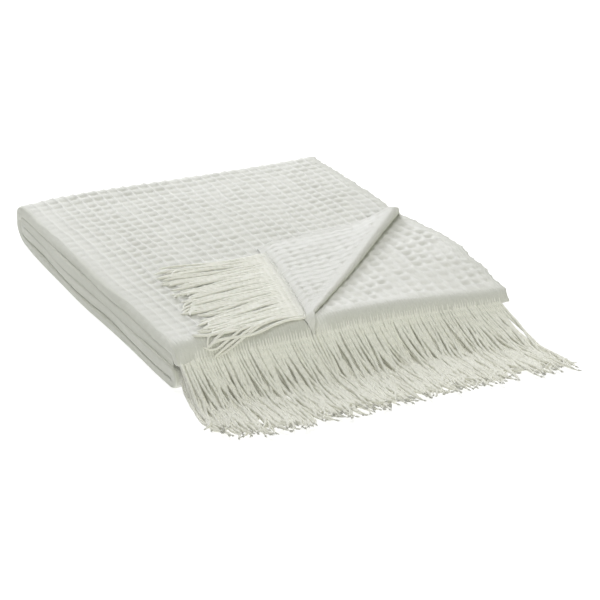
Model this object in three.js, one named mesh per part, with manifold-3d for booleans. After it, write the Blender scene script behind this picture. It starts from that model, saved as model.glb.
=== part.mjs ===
// A waffle-woven throw blanket with a fringe at both ends, folded into quarters each way.
// Millimetres, +Z up. The stack lies flat: its fringed edge faces -Y, its closed folds face
// -X and +Y, and each bundle's free selvedges face +X. The top ply's near right corner is
// turned back over the stack, so that the second ply shows beside the slanting fold.

import * as THREE from 'three';
import { mergeVertices } from 'three/addons/utils/BufferGeometryUtils.js';
import Module from 'manifold-3d';

// The folded stack: a 1270 by 1524 mm throw, folded to a quarter of each side
const panelWidth = 317.5;
const panelDepth = 381;

// The cloth and its layers: four plies make a bundle, and four bundles make the stack
const clothThickness = 1.8;
const plyPitch = 2.3;
const bundlePitch = 10.9;
const outerPly = 1.5 * plyPitch;
const innerPly = 0.5 * plyPitch;
const plyEdge = (plyPitch - clothThickness) / 2;
const lowestBundle = 2 * plyPitch - plyEdge;
const topBundle = lowestBundle + 3 * bundlePitch;
const bundleHalf = outerPly + clothThickness / 2;

// The folds inside one bundle, across the width
const sideFoldWide = 7;
const sideFoldBlunt = 0.45;
const tightFoldWide = 1.3;
const rightFoldInset = 5;
const plump = { share: 0.18, rise: 9, from: 4, reach: 16, fadeFrom: 300, fade: 40 };
const freeEdgeFrom = 200;

// The folds of the bundles, along the depth
const backFoldWide = 14.5;
const backFoldHigh = 1.5 * bundlePitch;
const midFoldWide = 5;
const midFoldHigh = bundlePitch / 2;
const frontInset = 2.65;
const lowerHemInset = 6;
const hemRoll = 12;
const hemRollDegrees = 86;
const hemRollFrom = 4.3;
const hemAt = -hemRoll * THREE.MathUtils.degToRad(hemRollDegrees);

// The corner that is turned back, along a line of 45 degrees across the top ply
const cornerLine = 133;
const cornerRun = (panelWidth - cornerLine - hemAt) * Math.SQRT2;
const rollWide = { foot: 2.2, edge: 7.5 };
const rollHigh = { foot: 1.6, edge: 4.6 };
const rollBow = 1.5;
const flapSettle = 42;
const flapLift = 2.7;
const flapGather = 0.15;
const flapSlack = 3;
const slackReach = 20;
const flapDraw = 0.15;

// Lines across the cloth where the mesh has its points
const cornerSteps = 7;
const hemSteps = 4;
const panelLines = [85, 55, 30, 16];
const innerLines = [30, 85, 159, 212, 265];
const depthLines = [235, 290, 322, 345];
const innerDepths = [40, 150, 270];
const flapRows = { roll: 5, flat: [3, 6, 10, 22, 44, 66, 90, 115] };

// The fringe: twisted strands in a strip along each hem
const strandWide = 2.2;
const strandHigh = 1.6;
const strandTip = 0.7;
const stripGap = 0.3;
const stripDeep = 3;
const strandPitch = 5.6;
const hiddenPitch = 33;
const hiddenLane = 5.5;
const upperLayer = 2.3;
const panelClear = 0.7;

// The folds of a bundle and of the stack, each row a run or a fold of the path through it.
// A run goes from one point to the next; a fold is part of an ellipse round its centre.
const leftTurn = [90, 270];
const plyRows = [
  { kind: 'run', from: [panelWidth, outerPly], to: [sideFoldWide, outerPly] },
  { kind: 'fold', centre: [sideFoldWide, 0], wide: sideFoldWide, high: outerPly, turn: leftTurn },
  { kind: 'run', from: [sideFoldWide, -outerPly], to: [panelWidth - rightFoldInset, -outerPly] },
  {
    kind: 'fold',
    centre: [panelWidth - rightFoldInset, -plyPitch],
    wide: tightFoldWide,
    high: innerPly,
    turn: [-90, 90],
  },
  { kind: 'run', from: [panelWidth - rightFoldInset, -innerPly], to: [sideFoldWide, -innerPly] },
  { kind: 'fold', centre: [sideFoldWide, 0], wide: tightFoldWide, high: innerPly, turn: [270, 90] },
  { kind: 'run', from: [sideFoldWide, innerPly], to: [panelWidth, innerPly] },
];

const backCentre = panelDepth - backFoldWide - bundleHalf;
const frontCentre = frontInset + midFoldWide + bundleHalf;
const levels = [0, 1, 2, 3].map((k) => lowestBundle + k * bundlePitch);
const stackRows = [
  {
    kind: 'fold',
    centre: [hemRollFrom, topBundle - hemRoll],
    wide: hemRoll,
    high: hemRoll,
    turn: [90 + hemRollDegrees, 90],
  },
  { kind: 'run', from: [hemRollFrom, topBundle], to: [backCentre, topBundle] },
  {
    kind: 'fold',
    centre: [backCentre, (levels[0] + levels[3]) / 2],
    wide: backFoldWide,
    high: backFoldHigh,
    turn: [90, -90],
  },
  { kind: 'run', from: [backCentre, levels[0]], to: [frontCentre, levels[0]] },
  {
    kind: 'fold',
    centre: [frontCentre, (levels[0] + levels[1]) / 2],
    wide: midFoldWide,
    high: midFoldHigh,
    turn: [270, 90],
  },
  { kind: 'run', from: [frontCentre, levels[1]], to: [backCentre, levels[1]] },
  {
    kind: 'fold',
    centre: [backCentre, (levels[1] + levels[2]) / 2],
    wide: midFoldWide,
    high: midFoldHigh,
    turn: [-90, 90],
  },
  { kind: 'run', from: [backCentre, levels[2]], to: [lowerHemInset, levels[2]] },
];

// Soft dents of the stack: each lowers what lies there by a share of its height
const dents = [
  { x: -4, y: 190, wide: 19, deep: 600, share: 0.12 },
  { x: 335, y: 0, wide: 88, deep: 55, share: 0.2 },
  { x: 106, y: 333, wide: 75, deep: 13, share: 0.035 },
  { x: 175, y: 250, wide: 120, deep: 110, share: -0.02 },
  { x: 260, y: 381, wide: 130, deep: 70, share: 0.06 },
  { x: 70, y: 390, wide: 90, deep: 60, share: -0.03 },
  { x: 5, y: -12, wide: 60, deep: 30, share: -0.09 },
  { x: 70, y: 110, wide: 60, deep: 45, share: 0.015 },
];

// How far the side folds stand out on the left, in the top bundle and in the lowest one
const sideEdges = [
  { y: -20, top: 0, lowest: 0 },
  { y: 60, top: -0.5, lowest: 1.5 },
  { y: 120, top: -1.5, lowest: 3.5 },
  { y: 200, top: 1, lowest: 4.5 },
  { y: 270, top: 1.5, lowest: 3.5 },
  { y: 330, top: 1, lowest: 1.5 },
  { y: 381, top: 1.5, lowest: -1 },
];

// How far the second ply's selvedge stands out on the right, past the turned-back corner
const freeEdge = [
  { y: -17, out: 6 },
  { y: 12, out: 8 },
  { y: 42, out: 12.5 },
  { y: 60, out: 11.5 },
  { y: 90, out: 15.5 },
  { y: 110, out: 14.5 },
  { y: 144, out: 8 },
  { y: 185, out: 2.5 },
  { y: 230, out: 1 },
  { y: 381, out: 0.5 },
];

// The fringe along the near edge, a row of strands for each ply that ends there. bundle 0 is
// the top one and bundle 3 the one under it, and ply 0 is the outermost of the top bundle.
// line is the run of the section that the hem belongs to. The first two rows lie over the
// others, and the rows in full sight are closer.
const frontFringes = [
  { name: 'fringe_top_ply', bundle: 0, ply: 0, line: 0, from: 8, to: 110, way: 'over' },
  { name: 'fringe_second_ply', bundle: 0, ply: 1, line: 6, from: 10.8, to: 313, way: 'over' },
  { name: 'fringe_third_ply', bundle: 0, ply: 2, line: 4, from: 10, to: 308, way: 'under' },
  { name: 'fringe_fourth_ply', bundle: 0, ply: 3, line: 2, from: 10, to: 308, way: 'under' },
  { name: 'fringe_lower_first', bundle: 3, ply: 3, line: 2, from: 10, to: 308, way: 'inside' },
  { name: 'fringe_lower_second', bundle: 3, ply: 2, line: 4, from: 10, to: 308, way: 'inside' },
  { name: 'fringe_lower_third', bundle: 3, ply: 1, line: 6, from: 10, to: 308, way: 'inside' },
  { name: 'fringe_lower_fourth', bundle: 3, ply: 0, line: 0, from: 10, to: 308, way: 'inside' },
];

// How the strands of a row fall, by distances in front of the near edge: where they land, how
// far they reach and how unevenly. The second ply's strands first drop past the top ply's
// strip, and the strands inside go out over the strips below them and down behind it.
const falls = {
  over: {
    land: -62,
    landRight: -46,
    rightFrom: 70,
    rightOver: 60,
    reach: -112,
    uneven: 8,
    drop: [-1.9, -4.2],
    swing: [-11, -5],
    levelOut: 20,
    lowerFrom: 26,
    lowerTo: 14,
  },
  under: { swing: [-1, 0.4], landShare: 0.7, land: -25, reach: -62, uneven: 5 },
  inside: {
    first: 2.3,
    lean: [-0.4, 0.9],
    clear: 0.7,
    drop: 2,
    swing: [-0.5, 0.6],
    foot: -1.5,
    land: -15,
    reach: -54,
    uneven: 5,
  },
};

// How strands drift aside for each 100 mm of their reach
const drift = { swayFrom: 125, sway: 1.2, splay: -10, splayFrom: 50, per: 100 };

const cotton = { color: 0xe9e9e0, roughness: 0.95, metalness: 0 };
const yarn = { color: 0xdedfd2, roughness: 0.9, metalness: 0 };

// Point and tangent of a path, at a row and a share of that row. blunt below 1 presses a
// fold squarer than an ellipse.
function onPath(rows, row, share, blunt = 1) {
  const r = rows[row];
  if (r.kind === 'run') {
    const along = [r.to[0] - r.from[0], r.to[1] - r.from[1]];
    const long = Math.hypot(along[0], along[1]);
    return {
      at: [r.from[0] + along[0] * share, r.from[1] + along[1] * share],
      tangent: [along[0] / long, along[1] / long],
    };
  }
  const sweep = THREE.MathUtils.degToRad(r.turn[1] - r.turn[0]);
  const angle = THREE.MathUtils.degToRad(r.turn[0]) + sweep * share;
  const way = Math.sign(sweep);
  const [cos, sin] = [Math.cos(angle), Math.sin(angle)];
  const pressed = (t) => Math.sign(t) * Math.abs(t) ** blunt;
  const slope = (t) => Math.max(Math.abs(t), 0.001) ** (blunt - 1);
  const tangent = [-r.wide * sin * slope(cos) * way, r.high * cos * slope(sin) * way];
  const long = Math.hypot(tangent[0], tangent[1]);
  return {
    at: [r.centre[0] + r.wide * pressed(cos), r.centre[1] + r.high * pressed(sin)],
    tangent: [tangent[0] / long, tangent[1] / long],
  };
}

// A place in a bundle's section: x, height from the bundle's middle, and the outward normal
function inSection(row, share, blunt = 1) {
  const p = onPath(plyRows, row, share, blunt);
  return { x: p.at[0], height: p.at[1], normal: [p.tangent[1], -p.tangent[0]], row };
}

// The bundle's middle at a distance along the top bundle, measured from the start of the
// hem's roll: negative down the roll to the hem and past it, positive towards the back
function alongTop(distance) {
  if (distance >= 0) {
    return { row: 1, share: distance / (backCentre - hemRollFrom), past: 0 };
  }
  const share = 1 - distance / hemAt;
  return { row: 0, share: Math.max(share, 0), past: Math.max(hemAt - distance, 0) };
}

function smooth(t) {
  const s = Math.min(Math.max(t, 0), 1);
  return s * s * (3 - 2 * s);
}

// A size from a table by y, in a smooth line from row to row
function fromTable(table, column, y) {
  const next = table.findIndex((row) => row.y > y);
  if (next < 1) {
    return table[next < 0 ? table.length - 1 : 0][column];
  }
  const [a, b] = [table[next - 1], table[next]];
  return a[column] + (b[column] - a[column]) * smooth((y - a.y) / (b.y - a.y));
}

// How far the second ply's selvedge lies out past the top ply's, in the top bundle alone
function secondPlyShift(x, place) {
  if (place.row > 1) {
    return 0;
  }
  const y = onPath(stackRows, place.row, place.share).at[0];
  return fromTable(freeEdge, 'out', y) * smooth((x - freeEdgeFrom) / (panelWidth - freeEdgeFrom));
}

// How far a bundle's side stands out on the left, from the middle of its path
function sideShift([y, z]) {
  const high = Math.min(Math.max((z - levels[0]) / (levels[3] - levels[0]), 0), 1);
  return fromTable(sideEdges, 'lowest', y) * (1 - high) + fromTable(sideEdges, 'top', y) * high;
}

function settle(x, y, z) {
  let share = 1;
  for (const d of dents) {
    share -= d.share * Math.exp(-(((x - d.x) / d.wide) ** 2) - ((y - d.y) / d.deep) ** 2);
  }
  return new THREE.Vector3(x, y, z * share);
}

// From a place along the stack's path, an x and a height in the bundle, to the finished point
function inStack(place, x, height) {
  const p = onPath(stackRows, place.row, place.share);
  const past = place.past || 0;
  const y = p.at[0] - p.tangent[0] * past - p.tangent[1] * height;
  const z = p.at[1] - p.tangent[1] * past + p.tangent[0] * height;
  return settle(x - sideShift(p.at) * (1 - smooth(x / panelWidth)), y, z);
}

// The two faces of the cloth at a line of the section and a line of the stack's path
function clothPoint(line, place) {
  const shoulder = place.row <= 1 && line.share < 0.5;
  const s = inSection(line.row, line.share, line.row === 1 && !shoulder ? sideFoldBlunt : 1);
  const half = clothThickness / 2;
  const out = line.row === 6 ? secondPlyShift(s.x, place) : 0;
  const [y, z] = onPath(stackRows, place.row, place.share).at;
  const raised = smooth((z - levels[0]) / plump.rise) * (1 - smooth((y - plump.fadeFrom) / plump.fade));
  const sideShare = 1 - smooth((s.x - plump.from) / plump.reach);
  const height = s.height * (1 + plump.share * raised * sideShare);
  const side = (n) => inStack(place, s.x + out + s.normal[0] * n, height + s.normal[1] * n);
  return { outer: side(half), inner: side(-half) };
}

function between(pair, share) {
  return pair.foot + (pair.edge - pair.foot) * share;
}

function rollLength(share) {
  const wide = between(rollWide, share);
  const high = between(rollHigh, share);
  return Math.PI * Math.sqrt((wide * wide + high * high) / 2);
}

// The turned-back corner. along is the distance from the fold's foot, over the distance past
// the line where the cloth leaves the panel, and offset the distance off the cloth's middle.
function cornerPoint(along, over, offset) {
  const share = along / cornerRun;
  const wide = between(rollWide, share);
  const high = between(rollHigh, share);
  const turned = Math.min(over / rollLength(share), 1) * Math.PI;
  let out = wide * Math.sin(turned);
  let up = high * (1 - Math.cos(turned));
  const tangent = [wide * Math.cos(turned), high * Math.sin(turned)];
  const long = Math.hypot(tangent[0], tangent[1]);
  const left = over - rollLength(share);
  if (left > 0) {
    out = flapSlack * smooth(left / slackReach) - left * (1 - flapGather);
    up = flapLift + (2 * high - flapLift) * (1 - smooth(left / flapSettle));
  }
  out -= (tangent[1] / long) * offset;
  up += (tangent[0] / long) * offset;
  const base = hemAt + along / Math.SQRT2;
  const drawn = flapDraw * Math.max(-out, 0);
  out += rollBow * Math.sin(Math.PI * share);
  const x = cornerLine + base + out / Math.SQRT2 + drawn;
  return inStack(alongTop(base - out / Math.SQRT2), x, outerPly + up);
}

// Lines of the mesh, each a row of a path and a share of it
function evenLines(row, steps) {
  return Array.from({ length: steps }, (_, k) => ({ row, share: (k + 1) / steps }));
}

function cornerDistances() {
  const list = [];
  for (let k = 0; k < hemSteps; k += 1) {
    list.push(hemAt * (1 - k / hemSteps));
  }
  for (let k = 0; k <= cornerSteps; k += 1) {
    list.push(((panelWidth - cornerLine) * k) / cornerSteps);
  }
  return list;
}

function linesOnRun(row, places, path = plyRows) {
  const r = path[row];
  const shares = places.map((place) => (place - r.from[0]) / (r.to[0] - r.from[0]));
  return [...shares, 1].sort((a, b) => a - b).map((share) => ({ row, share }));
}

function sectionLines(distances) {
  const places = [...distances.map((d) => cornerLine + d), ...panelLines];
  return [
    ...linesOnRun(0, places),
    ...evenLines(1, 5),
    ...linesOnRun(2, innerLines),
    ...evenLines(3, 3),
    ...linesOnRun(4, innerLines),
    ...evenLines(5, 3),
    ...linesOnRun(6, innerLines),
  ];
}

function stackLines(distances) {
  return [
    ...distances.map((d) => alongTop(d)),
    ...linesOnRun(1, depthLines, stackRows),
    ...evenLines(2, 6),
    ...linesOnRun(3, innerDepths, stackRows),
    ...evenLines(4, 4),
    ...linesOnRun(5, innerDepths, stackRows),
    ...evenLines(6, 4),
    ...linesOnRun(7, innerDepths, stackRows),
  ];
}

// A closed solid from points with two sides each and the faces between them
function thickSheet(points, faces) {
  const position = [];
  points.forEach((p) => position.push(...p.outer.toArray(), ...p.inner.toArray()));
  const index = [];
  const edges = new Map();
  for (const [a, b, c] of faces) {
    index.push(2 * a, 2 * b, 2 * c, 2 * a + 1, 2 * c + 1, 2 * b + 1);
    for (const [from, to] of [[a, b], [b, c], [c, a]]) {
      if (!edges.delete(`${to} ${from}`)) {
        edges.set(`${from} ${to}`, [from, to]);
      }
    }
  }
  for (const [from, to] of edges.values()) {
    index.push(2 * from, 2 * from + 1, 2 * to + 1, 2 * from, 2 * to + 1, 2 * to);
  }
  const geometry = new THREE.BufferGeometry();
  geometry.setAttribute('position', new THREE.Float32BufferAttribute(position, 3));
  geometry.setIndex(index);
  return geometry;
}

// Two faces for each cell of a grid, by the number that id gives for its points. A cell that
// is 'turned' is halved along its other diagonal.
function gridFaces(columns, rows, id, wanted = () => 'whole') {
  const faces = [];
  for (let i = 0; i < columns; i += 1) {
    for (let j = 0; j < rows; j += 1) {
      const kind = wanted(i, j);
      if (kind === 'turned') {
        faces.push([id(i, j), id(i, j + 1), id(i + 1, j + 1)]);
        faces.push([id(i, j), id(i + 1, j + 1), id(i + 1, j)]);
        continue;
      }
      if (kind === 'whole') {
        faces.push([id(i, j), id(i, j + 1), id(i + 1, j)]);
      }
      if (kind !== 'none') {
        faces.push([id(i + 1, j), id(i, j + 1), id(i + 1, j + 1)]);
      }
    }
  }
  return faces;
}

// The whole folded cloth: a grid of plies and bundles, and the corner turned back on it
function foldedCloth() {
  const distances = cornerDistances();
  const columns = sectionLines(distances);
  const rows = stackLines(distances);
  const corner = distances.length - 1;
  const numbers = new Map();
  const points = [];
  const id = (i, j) => {
    const key = `${i} ${j}`;
    if (!numbers.has(key)) {
      numbers.set(key, points.length);
      points.push(clothPoint(columns[i], rows[j]));
    }
    return numbers.get(key);
  };
  const wanted = (i, j) => {
    if (i + j + 1 < corner) {
      return 'none';
    }
    if (i + j + 1 === corner) {
      return 'half';
    }
    // The plies turn over at each fold, and their diagonals still have to lie the same way
    return (columns[i + 1].row % 4 === 2) !== (rows[j + 1].row % 4 === 3) ? 'turned' : 'whole';
  };
  const faces = gridFaces(columns.length - 1, rows.length - 1, id, wanted);
  const flap = new Map();
  const lastRow = flapRows.roll + flapRows.flat.length + 1;
  const flapId = (row, c) => {
    if (row === 0) {
      return id(corner - c, c);
    }
    const key = row === lastRow ? 'tip' : `${row} ${c}`;
    if (!flap.has(key)) {
      flap.set(key, points.length);
      points.push(flapPoint(row, (distances[c] - hemAt) / (distances[corner] - hemAt)));
    }
    return flap.get(key);
  };
  const flapFaces = gridFaces(lastRow, corner, flapId);
  const open = flapFaces.filter(([a, b, c]) => a !== b && b !== c && a !== c);
  return thickSheet(points, [...faces, ...open.map(([a, b, c]) => [a, c, b])]);
}

// A point of the turned-back corner: rows go round the roll first, then over the flat part
function flapPoint(row, share) {
  const roll = rollLength(share);
  const flat = row - flapRows.roll;
  let over = (roll * row) / flapRows.roll;
  if (flat > 0) {
    over = flat > flapRows.flat.length ? cornerRun / 2 : roll + flapRows.flat[flat - 1];
  }
  const along = over + (cornerRun - 2 * over) * share;
  const half = clothThickness / 2;
  return { outer: cornerPoint(along, over, half), inner: cornerPoint(along, over, -half) };
}

// A strand of three sides: a flat base along its path, and a ridge that stands over it
function strand(path) {
  const position = [];
  const index = [];
  path.forEach((p, k) => {
    const before = path[Math.max(k - 1, 0)].at;
    const after = path[Math.min(k + 1, path.length - 1)].at;
    const tangent = after.clone().sub(before).normalize();
    const side = tangent.clone().cross(p.up).normalize();
    const up = side.clone().cross(tangent).normalize();
    const wide = (strandWide / 2) * p.size;
    position.push(...p.at.clone().addScaledVector(side, -wide).toArray());
    position.push(...p.at.clone().addScaledVector(side, wide).toArray());
    position.push(...p.at.clone().addScaledVector(up, strandHigh * p.size).toArray());
  });
  for (let k = 0; k + 1 < path.length; k += 1) {
    for (let s = 0; s < 3; s += 1) {
      const a = 3 * k + s;
      const b = 3 * k + ((s + 1) % 3);
      index.push(a, b + 3, b, a, a + 3, b + 3);
    }
  }
  const last = 3 * (path.length - 1);
  index.push(0, 1, 2, last, last + 2, last + 1);
  const geometry = new THREE.BufferGeometry();
  geometry.setAttribute('position', new THREE.Float32BufferAttribute(position, 3));
  geometry.setIndex(index);
  return geometry;
}

// Repeatable unevenness, from -1 to 1
function uneven(seed) {
  const value = Math.sin(seed * 12.9898 + 4.1414) * 43758.5453;
  return 2 * (value - Math.floor(value)) - 1;
}

const wasm = await Module();
wasm.setup();

function solidOf(geometry) {
  const merged = mergeVertices(geometry, 1e-5);
  const mesh = new wasm.Mesh({
    numProp: 3,
    vertProperties: new Float32Array(merged.attributes.position.array),
    triVerts: new Uint32Array(merged.index.array),
  });
  return new wasm.Manifold(mesh);
}

function geometryOf(solid) {
  const mesh = solid.getMesh();
  const geometry = new THREE.BufferGeometry();
  geometry.setAttribute('position', new THREE.BufferAttribute(mesh.vertProperties, 3));
  geometry.setIndex(new THREE.BufferAttribute(mesh.triVerts, 1));
  return geometry;
}

// Strands fused at their roots into the strip that holds them
function fusedFringe(strip, strands) {
  let solid = solidOf(strip);
  for (const s of strands) {
    solid = solid.add(solidOf(s));
  }
  return geometryOf(solid);
}

// A strip of the hem's thickness, from points along it; each gives its near and far edge
function stripOf(stations) {
  const points = stations.flat();
  return thickSheet(points, gridFaces(stations.length - 1, 1, (i, j) => 2 * i + j));
}

function plyHeight(ply) {
  return outerPly - ply * plyPitch;
}

// A place just off a hem, out past the end of its bundle
function hemPlace(bundle, past) {
  if (bundle === 0) {
    return alongTop(hemAt - past);
  }
  const last = stackRows.length - 1;
  return { row: last, share: 1, past: -past };
}

// Where a strip has its points: its two ends, and the cloth's own lines between them
function stripPlaces(row) {
  const ends = [row.from - strandWide, row.to + strandWide];
  const lines = sectionLines(cornerDistances()).filter((line) => line.row === row.line);
  const across = lines.map((line) => inSection(line.row, line.share).x);
  const inside = across.filter((x) => x > ends[0] && x < ends[1]);
  return [...inside, ...ends].sort((a, b) => a - b);
}

function frontStrip(row) {
  const half = clothThickness / 2;
  const height = plyHeight(row.ply);
  const stations = stripPlaces(row).map((x) => {
    const edge = (past) => {
      const place = hemPlace(row.bundle, past);
      return { outer: inStack(place, x, height + half), inner: inStack(place, x, height - half) };
    };
    return [edge(stripGap + stripDeep), edge(stripGap)];
  });
  return stripOf(row.bundle === 0 ? stations.reverse() : stations);
}

// Points of a curve in the plane of a strand's fall, with the side that faces away from the
// stack as its upper side
function curvePoints(curve, steps) {
  return curve.getPoints(steps).map((p, k) => {
    const t = curve.getTangent(k / steps);
    return { y: p.x, z: p.y, up: [t.y, -t.x] };
  });
}

function levelPoint(y, z) {
  return { y, z, up: [0, 1] };
}

function fallOver(root, rightShare, reach, tucked) {
  const f = falls.over;
  const land = f.land + (f.landRight - f.land) * rightShare;
  const start = new THREE.Vector2(root.y, root.z);
  const path = [];
  if (tucked) {
    path.push({ y: start.x, z: start.y, up: [-1, 0] });
    start.add(new THREE.Vector2(...f.drop));
  }
  const curve = new THREE.CubicBezierCurve(
    start,
    start.clone().add(new THREE.Vector2(...f.swing)),
    new THREE.Vector2(land + f.levelOut, upperLayer),
    new THREE.Vector2(land, upperLayer),
  );
  path.push(...curvePoints(curve, tucked ? 3 : 4));
  path.push(levelPoint(reach + f.lowerFrom, upperLayer));
  path.push(levelPoint(reach + f.lowerTo, 0), levelPoint(reach, 0));
  return path;
}

function fallUnder(root, reach) {
  const f = falls.under;
  const curve = new THREE.CubicBezierCurve(
    new THREE.Vector2(root.y, root.z),
    new THREE.Vector2(root.y + f.swing[0], root.z * f.swing[1]),
    new THREE.Vector2(f.land * f.landShare, 0),
    new THREE.Vector2(f.land, 0),
  );
  return [...curvePoints(curve, 3), levelPoint(reach, 0)];
}

// Out over the strips below it, and down between them and the top bundle's hem
function fallInside(root, reach) {
  const f = falls.inside;
  const curve = new THREE.CubicBezierCurve(
    new THREE.Vector2(f.clear, root.z - f.drop),
    new THREE.Vector2(f.swing[0], root.z * f.swing[1]),
    new THREE.Vector2(f.foot, 0),
    new THREE.Vector2(f.land, 0),
  );
  return [
    levelPoint(root.y, root.z),
    { y: f.first, z: root.z, up: f.lean },
    ...curvePoints(curve, 3),
    levelPoint(reach, 0),
  ];
}

// The middle of a strip at x, on the straight stretch between two of its points
function stripMiddle(row, x) {
  const places = stripPlaces(row);
  const next = places.findIndex((p) => p > x);
  const [a, b] = [places[next - 1], places[next]];
  const place = hemPlace(row.bundle, stripGap + stripDeep / 2);
  const height = plyHeight(row.ply);
  return inStack(place, a, height).lerp(inStack(place, b, height), (x - a) / (b - a));
}

function frontStrand(row, x, number) {
  const over = row.way === 'over';
  const middle = stripMiddle(row, x);
  const turn = row.bundle === 0 ? THREE.MathUtils.degToRad(hemRollDegrees) : 0;
  const out = new THREE.Vector3(0, -Math.sin(turn), Math.cos(turn));
  const root = middle.clone().addScaledVector(out, -strandHigh / 2);
  const reach = falls[row.way].reach + falls[row.way].uneven * uneven(number + 31 * row.ply);
  const rightShare = smooth((x - panelWidth + falls.over.rightFrom) / falls.over.rightOver);
  const tucked = row.line === 6 && x < frontFringes[0].to + 2 * strandPitch;
  const ways = {
    over: () => fallOver(root, rightShare, reach, tucked),
    under: () => fallUnder(root, reach),
    inside: () => fallInside(root, reach),
  };
  const path = ways[row.way]().map((p, k, all) => {
    const far = (root.y - p.y) / drift.per;
    const sway = over && x > drift.swayFrom ? drift.sway * uneven(number * 7 + 3) * far : 0;
    const splay = over ? drift.splay * smooth(1 - x / drift.splayFrom) * far : 0;
    return {
      at: new THREE.Vector3(middle.x + sway + splay, p.y, p.z),
      up: new THREE.Vector3(0, p.up[0], p.up[1]),
      size: k === all.length - 1 ? strandTip : 1,
    };
  });
  path[0].up.copy(out);
  return strand(path);
}

// Strands of a row that lies over the rest stand a pitch apart, and the rows under it have
// lanes of their own, so that no two rows meet where they cross
function frontFringe(row, number) {
  const over = row.way === 'over';
  const pitch = over ? strandPitch : hiddenPitch;
  const start = over ? row.from : row.from + (number - 2) * hiddenLane;
  const strands = [];
  for (let x = start; x <= row.to; x += pitch) {
    strands.push(frontStrand(row, x, strands.length));
  }
  return fusedFringe(frontStrip(row), strands);
}

// The turned-back corner's fringe lies on the panel and points to -X. The distances run along
// its hem from the fold's foot.
const cornerFringe = {
  name: 'fringe_corner',
  from: 28,
  to: 190,
  pitch: 5,
  reach: 97,
  uneven: 8,
  lands: 20,
  middle: 55,
  wave: 1.1,
  waves: 7,
  nearTurn: 12,
  nearFrom: 60,
  nearOver: 40,
  hook: 2.2,
};

function cornerHem(distance, past, offset) {
  return cornerPoint((distance - past) / Math.SQRT2, (distance + past) / Math.SQRT2, offset);
}

function cornerStrip() {
  const half = clothThickness / 2;
  const long = cornerFringe.to - cornerFringe.from;
  const steps = 12;
  const stations = [];
  for (let k = 0; k <= steps; k += 1) {
    const distance = cornerFringe.from + (long * k) / steps;
    const edge = (past) => ({
      outer: cornerHem(distance, past, half),
      inner: cornerHem(distance, past, -half),
    });
    stations.push([edge(stripGap + stripDeep), edge(stripGap)]);
  }
  return stripOf(stations.reverse());
}

function cornerStrand(distance, number) {
  const middle = stripGap + stripDeep / 2;
  const root = cornerHem(distance, middle, -strandHigh / 2);
  const path = [{ at: root, up: new THREE.Vector3(0, 0, 1), size: 1 }];
  const size = cornerFringe;
  const reach = size.reach + size.uneven * uneven(number + 5);
  const low = outerPly + clothThickness / 2 + panelClear;
  const near = smooth((size.nearFrom - distance) / size.nearOver);
  const last = reach - 2 * size.pitch;
  for (const past of [stripGap + stripDeep + 1, size.lands, size.middle, last, reach]) {
    const far = past / reach;
    const turn = size.wave * Math.sin(far * size.waves + number / 4) + size.nearTurn * near;
    const hook = past === reach ? size.hook * uneven(number + 9) : 0;
    const v = root.y + turn * far + hook - hemRollFrom;
    const x = root.x - past + middle;
    const height = past < size.lands ? plyHeight(0) + flapLift - strandHigh / 2 : low;
    path.push({
      at: inStack(alongTop(v), x, height),
      up: new THREE.Vector3(0, 0, 1),
      size: past === reach ? strandTip : 1,
    });
  }
  return strand(path);
}

function turnedFringe() {
  const strands = [];
  const first = cornerFringe.from + strandWide;
  for (let d = first; d <= cornerFringe.to - strandWide; d += cornerFringe.pitch) {
    strands.push(cornerStrand(d, strands.length));
  }
  return fusedFringe(cornerStrip(), strands);
}

const throwBlanket = new THREE.Group();

function addPiece(name, geometry, look) {
  const mesh = new THREE.Mesh(geometry, new THREE.MeshStandardMaterial(look));
  mesh.name = name;
  throwBlanket.add(mesh);
}

addPiece('throw_cloth', foldedCloth(), cotton);
frontFringes.forEach((row, k) => addPiece(row.name, frontFringe(row, k), yarn));
addPiece(cornerFringe.name, turnedFringe(), yarn);
throwBlanket.position.set(-panelWidth / 2, -panelDepth / 2, 0);

export default throwBlanket;
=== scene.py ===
# A folded waffle throw, its turned-back corner and its twisted fringe, dressed over its solids
import math

import bmesh
import bpy
import numpy as np
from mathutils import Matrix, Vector


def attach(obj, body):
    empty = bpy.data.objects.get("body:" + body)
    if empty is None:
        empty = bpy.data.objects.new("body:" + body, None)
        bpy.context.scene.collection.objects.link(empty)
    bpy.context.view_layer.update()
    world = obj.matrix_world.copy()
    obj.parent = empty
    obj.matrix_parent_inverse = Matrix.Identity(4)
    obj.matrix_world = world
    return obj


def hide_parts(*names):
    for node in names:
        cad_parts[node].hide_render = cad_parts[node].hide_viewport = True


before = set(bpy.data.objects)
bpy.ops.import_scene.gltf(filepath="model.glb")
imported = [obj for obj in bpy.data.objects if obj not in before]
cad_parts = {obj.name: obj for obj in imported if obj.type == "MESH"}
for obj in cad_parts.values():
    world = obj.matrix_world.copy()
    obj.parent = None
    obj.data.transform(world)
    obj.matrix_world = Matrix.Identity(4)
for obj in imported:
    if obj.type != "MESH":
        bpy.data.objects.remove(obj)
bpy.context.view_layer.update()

mm = 0.001

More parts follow.
